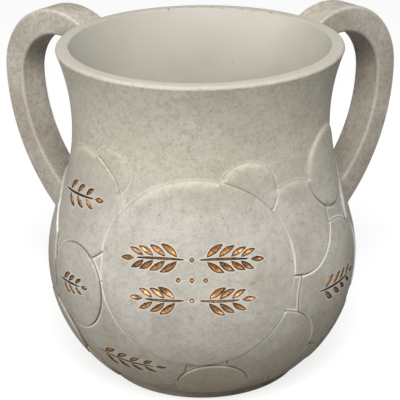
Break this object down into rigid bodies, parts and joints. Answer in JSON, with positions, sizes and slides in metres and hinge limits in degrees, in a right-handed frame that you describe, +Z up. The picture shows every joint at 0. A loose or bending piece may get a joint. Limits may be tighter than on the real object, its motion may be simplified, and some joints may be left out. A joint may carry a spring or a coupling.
{
  "type": "two-handled washing cup",
  "caption": "Bellied two-handled pouring cup in stone-look cast resin, with overlapping discs in low relief and gilded sprigs.",
  "frame": {"origin": "on the cup's centre line, in the plane of the pad's underside that the cup stands on", "axes": "+Z up along the cup's centre line, -Y towards the front face, +X to the right handle's side"},
  "size_m": [0.168, 0.1309, 0.1388],
  "materials": {
    "stone_resin": "matt stone-look casting",
    "cream_lining": "smooth satin",
    "handle_resin": "matt stone-look casting",
    "pad_foam": "matt foam"
  },
  "bodies": {
    "root": {"cup_body": "stone_resin", "inner_lining": "cream_lining", "left_handle": "handle_resin", "right_handle": "handle_resin", "base_pad": "pad_foam"}
  },
  "joints": []
}
